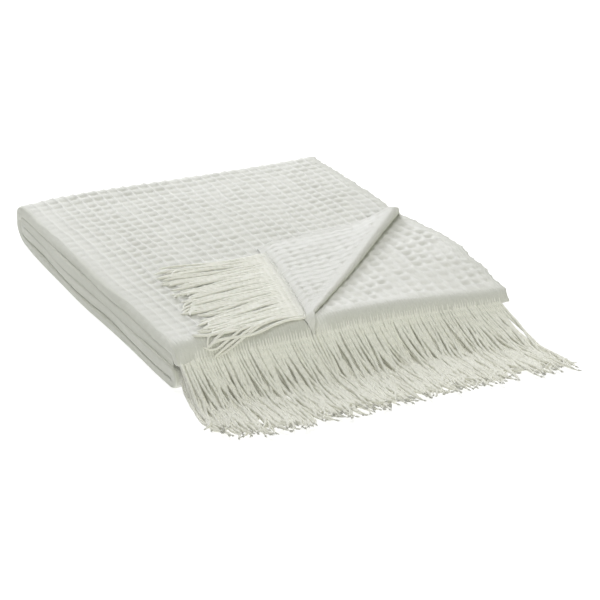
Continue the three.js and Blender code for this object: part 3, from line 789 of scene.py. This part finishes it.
def strandProfile():
    curve = bpy.data.curves.new("strandProfile", "CURVE")
    spline = curve.splines.new("POLY")
    spline.points.add(fringe["sides"] - 1)
    size = fringe["radius"] * mm
    for k in range(fringe["sides"]):
        angle = 2 * math.pi * k / fringe["sides"]
        spline.points[k].co = (size * math.cos(angle), size * math.sin(angle), 0, 1)
    spline.use_cyclic_u = True
    return newObject("strandProfile", curve)


def fringeCurve(name, profile):
    curve = bpy.data.curves.new(name, "CURVE")
    curve.dimensions = "3D"
    curve.bevel_mode = "OBJECT"
    curve.bevel_object = profile
    curve.use_fill_caps = True
    return curve


def meshOf(curve, name):
    holder = newObject(name + "Curve", curve)
    bpy.context.view_layer.update()
    shown = holder.evaluated_get(bpy.context.evaluated_depsgraph_get())
    mesh = bpy.data.meshes.new_from_object(shown)
    mesh.name = name
    bpy.data.objects.remove(holder)
    bm = bmesh.new()
    bm.from_mesh(mesh)
    bmesh.ops.remove_doubles(bm, verts=bm.verts, dist=1e-6)
    bm.to_mesh(mesh)
    bm.free()
    mesh.polygons.foreach_set("use_smooth", [True] * len(mesh.polygons))
    print(f"{name}: {len(mesh.polygons)} faces")
    return newObject(name, mesh)


def hangingStrand(row, number, x, rng):
    # the points and radii of one strand of a row, by its place along the hem
    root = rootOf(row["run"], row["hem"], x)
    right = float(rise(x, *fringe["rightEnd"]))
    left = float(smooth((fringe["leftEnd"][0] - x) / fringe["leftEnd"][1]))
    lock, lockWide, lockNext = fringe["lock"]
    lands = row["lands"] * (1 + fringe["landsRight"] * right) + rng.normal(0, fringe["landVaries"])
    way = fringe["heading"]
    heading = way["left"] * left + way["right"] * right + way["all"]
    gathered = lock * float(ripple(x / lockWide, number * lockNext, 20))
    heading = heading + gathered + rng.normal(0, way["varies"])
    long = fringe["long"] + fringe["longVaries"] * rng.uniform(-1, 1)
    long = long - fringe["shorterLeft"] * left ** 2 + fringe["longerRight"] * right ** 2
    lies = row["lies"] + rng.uniform(-fringe["lieVaries"], fringe["lieVaries"])
    return strandPath(root, lands, lies, long, heading, rng), strandRadii(rng, long)


def makeFringe(profile):
    rng = np.random.default_rng(fringe["seed"])
    curves = {}
    for number, row in enumerate(fringeRows):
        curve = curves.get(row["piece"])
        if curve is None:
            curve = curves[row["piece"]] = fringeCurve(row["piece"], profile)
        count = int((row["to"] - row["from"]) / row["pitch"])
        for k in range(count + 1):
            share = (k + fringe["placeVaries"] * rng.uniform(-1, 1)) / count
            x = row["from"] + (row["to"] - row["from"]) * share
            points, radii = hangingStrand(row, number, x, rng)
            if row["run"] in (0, 6) and row["hem"] == "near":
                # a strand in sight starts as a rib of the hem
                lead = [rootOf(row["run"], "near", x, far, deep) for far, deep, _ in fringe["lead"]]
                points = np.vstack([lead, points])
                radii = np.concatenate([[thick for _, _, thick in fringe["lead"]], radii])
            addStrand(curve, points, radii)
            if row["piece"] != "fringeLower":
                tipThreads(curve, points, rng)
    return [meshOf(curve, name) for name, curve in curves.items()]


cornerFringe = {
    "seed": 16,
    "from": 29.0,
    "to": 188.0,
    "pitch": 2.45,
    "placeVaries": 0.2,
    "reach": 100.0,
    "varies": 8.0,
    "fan": (-0.24, 0.10),
    "fanLong": 50,
    "sway": (0.13, 11, 22),
    "swayLong": 18,
    "turnVaries": 0.04,
    "lock": (0.08, 14),
    "lockLong": 25,
    "hook": 0.55,
    "hookLong": 20,
    "clear": 0.1,
    "heightVaries": 0.6,
    "drop": 16,
    "offset": -0.25,
    "lead": [(7.0, -0.6, 0.2), (3.5, -0.5, 0.6)],
}


def cornerHem(along, inside, offset):
    # a place of the turned-back hem: x, height in the bundle and distance along the throw
    flatX = np.array([corner["line"] + hemAt + along])
    return turnedBack(flatX, np.array([inside]), np.array([offset]))[:3]


def makeCornerFringe(profile):
    size = cornerFringe
    rng = np.random.default_rng(size["seed"])
    curve = fringeCurve("fringeCorner", profile)
    count = int((size["to"] - size["from"]) / size["pitch"])
    sway, shortest, longest = size["sway"]
    lock, lockWide = size["lock"]
    for k in range(count + 1):
        along = size["from"] + size["pitch"] * (k + size["placeVaries"] * rng.uniform(-1, 1))
        rootX, rootHeight, rootV = cornerHem(along, rootInside, size["offset"])
        long = size["reach"] + size["varies"] * rng.uniform(-1, 1)
        s = np.linspace(0, long, fringe["points"])
        turn = between(*size["fan"], k / count) * smooth(s / size["fanLong"])
        swung = np.sin(s / rng.uniform(shortest, longest) + rng.uniform(*anyPhase))
        turn = turn + sway * swung * smooth(s / size["swayLong"])
        aside = rng.normal(0, size["turnVaries"]) + lock * float(ripple(k / lockWide, 2, 21))
        turn = turn + aside * smooth(s / size["lockLong"])
        hooked = smooth((s - long + size["hookLong"]) / size["hookLong"]) ** 2
        turn = turn + rng.normal(0, size["hook"]) * hooked
        x = rootX[0] - addedUp(np.cos(turn)) * s[1]
        v = rootV[0] + addedUp(np.sin(turn)) * s[1]
        low = outerPly + weave["thick"] + size["clear"] + fringe["radius"]
        low = low + rng.uniform(0, size["heightVaries"])
        height = low + (rootHeight[0] - low) * (1 - smooth(s / size["drop"]))
        placed = np.column_stack(inStack(x, height, v))
        places = [inStack(*cornerHem(along, far, deep)) for far, deep, _ in size["lead"]]
        lead = [[float(axis[0]) for axis in place] for place in places]
        thicks = [thick for _, _, thick in size["lead"]]
        radii = np.concatenate([thicks, strandRadii(rng, long)])
        addStrand(curve, np.vstack([lead, placed]), radii)
    return meshOf(curve, "fringeCorner")


# Shader maths
class Wire:
    # a socket in an expression: sums and products add Math nodes
    def __init__(self, tree, socket=None):
        self.tree, self.socket = tree, socket

    def add(self, kind, settings=None, values=None, output=0):
        made = self.tree.nodes.new(kind)
        for name, value in (settings or {}).items():
            setattr(made, name, value)
        for name, value in (values or {}).items():
            if isinstance(value, Wire):
                self.tree.links.new(value.socket, made.inputs[name])
            else:
                made.inputs[name].default_value = value
        return Wire(self.tree, made.outputs[output])

    def maths(self, operation, *values):
        return self.add("ShaderNodeMath", {"operation": operation}, dict(enumerate(values)))

    def __add__(self, other):
        return self.maths("ADD", self, other)

    def __radd__(self, other):
        return self.maths("ADD", other, self)

    def __sub__(self, other):
        return self.maths("SUBTRACT", self, other)

    def __rsub__(self, other):
        return self.maths("SUBTRACT", other, self)

    def __mul__(self, other):
        return self.maths("MULTIPLY", self, other)

    def __rmul__(self, other):
        return self.maths("MULTIPLY", other, self)

    def __truediv__(self, other):
        return self.maths("DIVIDE", self, other)

    def __rtruediv__(self, other):
        return self.maths("DIVIDE", other, self)

    def __pow__(self, other):
        return self.maths("POWER", self, other)

    def __rpow__(self, other):
        return self.maths("POWER", other, self)

    def cos(self):
        return self.maths("COSINE", self)

    def within(self, least=0.0, most=1.0):
        return self.maths("MINIMUM", self.maths("MAXIMUM", self, least), most)

    def between(self, first, second):
        # a colour from the first to the second, by this value
        return self.add("ShaderNodeMix", {"data_type": "RGBA"}, {0: self, 6: first, 7: second}, 2)

    def noise(self, place, scale, detail, roughness=0.5):
        values = {"Vector": place, "Scale": scale, "Detail": detail, "Roughness": roughness}
        return self.add("ShaderNodeTexNoise", None, values)

    def bump(self, height, strength):
        values = {"Strength": strength, "Distance": 1.0, "Height": height}
        return self.add("ShaderNodeBump", None, values)

    def attribute(self, name):
        return self.add("ShaderNodeAttribute", {"attribute_name": name}, None, 2)

    def axes(self, place):
        return [self.add("ShaderNodeSeparateXYZ", None, {0: place}, k) for k in (0, 1)]


def newMaterial(name):
    material = bpy.data.materials.new(name)
    material.use_nodes = True
    material.node_tree.nodes.clear()
    return material, Wire(material.node_tree)


def finish(start, look, values):
    # what is the same all over comes from the look
    shader = start.add("ShaderNodeBsdfPrincipled", None, {
        "Roughness": look["roughness"],
        "Sheen Weight": look["sheen"][0],
        "Sheen Roughness": look["sheen"][1],
        "Specular IOR Level": look["shine"],
        **values,
    })
    out = start.tree.nodes.new("ShaderNodeOutputMaterial")
    start.tree.links.new(shader.socket, out.inputs["Surface"])


waffleLook = {
    # the walls' colour and the cells' darker one: the floats' own tone, with painted highlight on the
    # walls and painted shade in the cells' recesses
    "wall": (0.845, 0.848, 0.818, 1),
    "cell": (0.675, 0.68, 0.633, 1),
    "fold": (0.59, 0.61, 0.50, 1),    # painted shade, darker and greener, on the corner's roll and the left side folds
    "paintedShadeShare": 0.8,
    "lengthwise": (5.0, 0.9, 0.55),    # how thin the walls show, and how the mottle lights them
    "crosswise": (2.0, 0.8, 1.25),
    "ribs": (0.25, 0.4),
    "shown": {"lengthwise": 0.65, "crosswise": 0.38, "flat": 0.5},
    "tone": {"yarns": 0.13, "patch": 0.4, "reverse": 0.45, "darker": 0.15},
    "high": {"wall": 0.0008, "yarns": 0.00016, "slub": 0.0004},
    "bump": 0.9,
    "yarn": 0.00105,
    "yarnWander": 4.0,
    "mottle": 75.0,
    "slub": 650.0,
    "patch": 16.0,
    "roughness": 0.92,
    "sheen": (0.2, 0.6),
    "shine": 0.15,
}


def waffleMaterial():
    material, start = newMaterial("waffleCotton")
    uv = start.add("ShaderNodeUVMap", {"uv_map": "flatCloth"})
    u, v = start.axes(uv)
    a = (u * (2 * math.pi / (weave["cellAcross"] * mm))).cos() * 0.5 + 0.5
    b = (v * (2 * math.pi / (weave["cellAlong"] * mm))).cos() * 0.5 + 0.5
    mottle = start.noise(uv, waffleLook["mottle"], 2.0, 0.6)
    thin, mottled, base = waffleLook["lengthwise"]
    lengthwise = a ** thin * (mottle * mottled + base).within()
    wide, mottled, base = waffleLook["crosswise"]
    crosswise = (1 - (1 - b) ** wide) * (base - mottle * mottled).within()
    wall = (1 - (1 - lengthwise) * (1 - crosswise)) * 0.5 + lengthwise * 0.5

    # plain bands at the two hems and a narrow one at the selvedges
    fromSide = start.maths("MINIMUM", u, clothWide * mm - u)
    side = ((fromSide - weave["selvedge"] * mm) / (weave["selvedgeFade"] * mm)).within()
    band = (1 - start.attribute("hemBand")) * side
    ribHigh, ribBase = waffleLook["ribs"]
    ribs = (u * (2 * math.pi / (weave["hemRib"] * mm))).cos() * ribHigh + ribBase
    wall = wall * band + (1 - band) * ribs
    relief = start.attribute("relief")
    # the walls are painted lighter than the cells: painted highlight on the walls and painted shade in
    # the recesses, over the real relief
    shown = waffleLook["shown"]
    weaveAndPaintedShade = (lengthwise * shown["lengthwise"] + crosswise * shown["crosswise"]) * band * relief
    weaveAndPaintedShade = weaveAndPaintedShade + (1 - relief) * shown["flat"]

    # floats of yarn run along each wall, with slubs
    slub = start.noise(uv, waffleLook["slub"], 4.0)
    turns = 2 * math.pi / waffleLook["yarn"]
    wander = slub * waffleLook["yarnWander"]
    rows = (v * turns + wander).cos() * 0.5 + 0.5
    columns = (u * turns + wander).cos() * 0.5 + 0.5
    rowShare = ((crosswise - lengthwise) * band + 0.5).within()
    yarns = rows * rowShare + columns * (1 - rowShare)
    patch = start.noise(uv, waffleLook["patch"], 3.0)
    part, high = waffleLook["tone"], waffleLook["high"]
    tone = weaveAndPaintedShade + yarns * part["yarns"] + patch * part["patch"]
    # painted light: where the cloth's back shows, on the turned corner and the second ply, it is
    # lighter, standing in for its weaker relief shade
    tone = tone + start.attribute("reverse") * part["reverse"] - part["darker"]
    colour = tone.within().between(waffleLook["cell"], waffleLook["wall"])
    # painted shade on the corner's roll and the left side folds
    paintedFoldShade = start.attribute("fold") * waffleLook["paintedShadeShare"]
    height = wall * high["wall"] + yarns * high["yarns"] + slub * high["slub"]
    bump = start.bump(height, waffleLook["bump"])
    colour = paintedFoldShade.between(colour, waffleLook["fold"])
    finish(start, waffleLook, {"Base Color": colour, "Normal": bump})
    return material


strandLook = {
    "light": (0.925, 0.927, 0.872, 1),
    "dark": (0.80, 0.797, 0.73, 1),
    "turns": 9.0,
    "tone": {"fibre": 0.35, "patch": 0.8, "ply": 0.2, "along": 0.7, "lighter": 0.1},
    "high": {"ply": 0.00035, "fibre": 0.00015},
    "plyRound": 0.6,
    "bump": 0.8,
    "fibre": 1300.0,
    "patch": 90.0,
    "root": (0.12, 0.1),    # where a strand stops having the cloth's colour, and over what share
    "roughness": 0.9,
    "sheen": (0.2, 0.6),
    "shine": 0.15,
    "glow": 0.04,    # painted light: a faint glow standing in for light that comes through the loose yarn
    "paintedGlowColour": (0.95, 0.93, 0.80, 1),
}
# a lighter copy of the strands' colours for the corner fringe: painted light against the shade between
# its strands
turnedLookPaintedLighter = dict(strandLook, light=(0.95, 0.952, 0.905, 1), dark=(0.87, 0.868, 0.81, 1))


def strandMaterial(name, look):
    material, start = newMaterial(name)
    along, around = start.axes(start.add("ShaderNodeUVMap", {"uv_map": "UVMap"}))
    place = start.add("ShaderNodeTexCoord", None, None, 3)
    fibre = start.noise(place, look["fibre"], 3.0)
    patch = start.noise(place, look["patch"], 2.0)

    # two plies twisted round each other
    ply = ((along * look["turns"] + around) * (4 * math.pi)).cos() * 0.5 + 0.5
    part, high = look["tone"], look["high"]
    tone = fibre * part["fibre"] + patch * part["patch"] + ply * part["ply"]
    tone = (tone - along * part["along"] + part["lighter"]).within()
    root = ((look["root"][0] - along) / look["root"][1]).within()
    height = ply ** look["plyRound"] * high["ply"] + fibre * high["fibre"]
    bump = start.bump(height, look["bump"])
    finish(start, look, {
        "Base Color": root.between(tone.between(look["dark"], look["light"]), waffleLook["wall"]),
        "Emission Color": look["paintedGlowColour"],
        "Emission Strength": look["glow"],
        "Normal": bump,
    })
    return material


floorLook = {
    "size": 6.0,
    "pale": (0.5, 0.5, 0.5, 1),
    "paler": (0.53, 0.53, 0.53, 1),
    "roughness": 0.95,
    "sheen": (0, 0.5),
    "shine": 0.05,
    "glow": 0.7,
}


def floorMaterial():
    material, start = newMaterial("paleFloor")
    grain = start.noise(start.add("ShaderNodeTexCoord", None, None, 3), 3.0, 2.0)
    finish(start, floorLook, {
        "Base Color": grain.between(floorLook["pale"], floorLook["paler"]),
        "Emission Color": (1, 1, 1, 1),
        "Emission Strength": floorLook["glow"],
    })
    return material


# Making the pieces, each in the place of its solids
cloth = makeCloth()
profile = strandProfile()
fringes = makeFringe(profile)
turnedFringe = makeCornerFringe(profile)
bpy.data.objects.remove(profile)

cloth.data.materials.append(waffleMaterial())
looks = [strandMaterial("twistedCotton", strandLook)] * len(fringes)
looks.append(strandMaterial("turnedCottonPaintedLighter", turnedLookPaintedLighter))
for piece, look in zip(fringes + [turnedFringe], looks):
    piece.data.materials.clear()
    piece.data.materials.append(look)

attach(cloth, "root")
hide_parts("throw_cloth")
covers = {
    "fringeTopPly": ["fringe_top_ply"],
    "fringeSecondPly": ["fringe_second_ply"],
    "fringeUnder": ["fringe_third_ply", "fringe_fourth_ply"],
    "fringeLower": ["fringe_lower_first", "fringe_lower_second",
                    "fringe_lower_third", "fringe_lower_fourth"],
    "fringeCorner": ["fringe_corner"],
}
for piece in fringes + [turnedFringe]:
    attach(piece, "root")
    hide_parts(*covers[piece.name])
print("pieces in place")

# Floor, light and camera
studio = {
    "camera": (-819.04, -1744.5, 818.6),
    "pitch": 23.614,
    "yaw": 26.663,
    "lens": 132.5,
    "sensor": 36,
    "clip": (0.05, 50),
    "sky": 0.20,
    "skyTint": (1.0, 1.01, 0.92, 1),
    "lights": [
        # each light: where it stands, its size in metres, its power in watts and its colour
        {"name": "main", "at": (0.2, 2.3, 1.2), "size": 1.1, "power": 59, "tint": (1, 1, 1.04)},
        {"name": "top", "at": (-0.2, 0.3, 2.5), "size": 1.2, "power": 23, "tint": (1, 1, 1)},
        {"name": "front", "at": (0.0, -2.3, 0.8), "size": 1.4, "power": 14, "tint": (1, 1.01, 0.84)},
    ],
}


def makeFloor():
    bm = bmesh.new()
    bmesh.ops.create_grid(bm, x_segments=8, y_segments=8, size=floorLook["size"])
    mesh = bpy.data.meshes.new("floor")
    bm.to_mesh(mesh)
    bm.free()
    floor = newObject("floor", mesh)
    floor.data.materials.append(floorMaterial())


def makeLights():
    for row in studio["lights"]:
        lamp = bpy.data.lights.new(row["name"], "AREA")
        lamp.shape, lamp.size, lamp.energy = "SQUARE", row["size"], row["power"]
        lamp.color = row["tint"]
        light = newObject(row["name"], lamp)
        light.location = row["at"]
        light.rotation_euler = (-Vector(row["at"])).to_track_quat("-Z", "Y").to_euler()
    world = bpy.data.worlds.new("studio")
    bpy.context.scene.world = world
    world.use_nodes = True
    background = world.node_tree.nodes["Background"]
    background.inputs["Color"].default_value = studio["skyTint"]
    background.inputs["Strength"].default_value = studio["sky"]
    bpy.context.scene.view_settings.view_transform = "Standard"


def makeCamera():
    lens = bpy.data.cameras.new("camera")
    lens.lens, lens.sensor_width = studio["lens"], studio["sensor"]
    lens.clip_start, lens.clip_end = studio["clip"]
    view = newObject("camera", lens)
    view.location = [c * mm for c in studio["camera"]]
    view.rotation_euler = (math.radians(90 - studio["pitch"]), 0, math.radians(-studio["yaw"]))
    bpy.context.scene.camera = view


makeFloor()
makeLights()
makeCamera()
print("floor, light and camera in place")
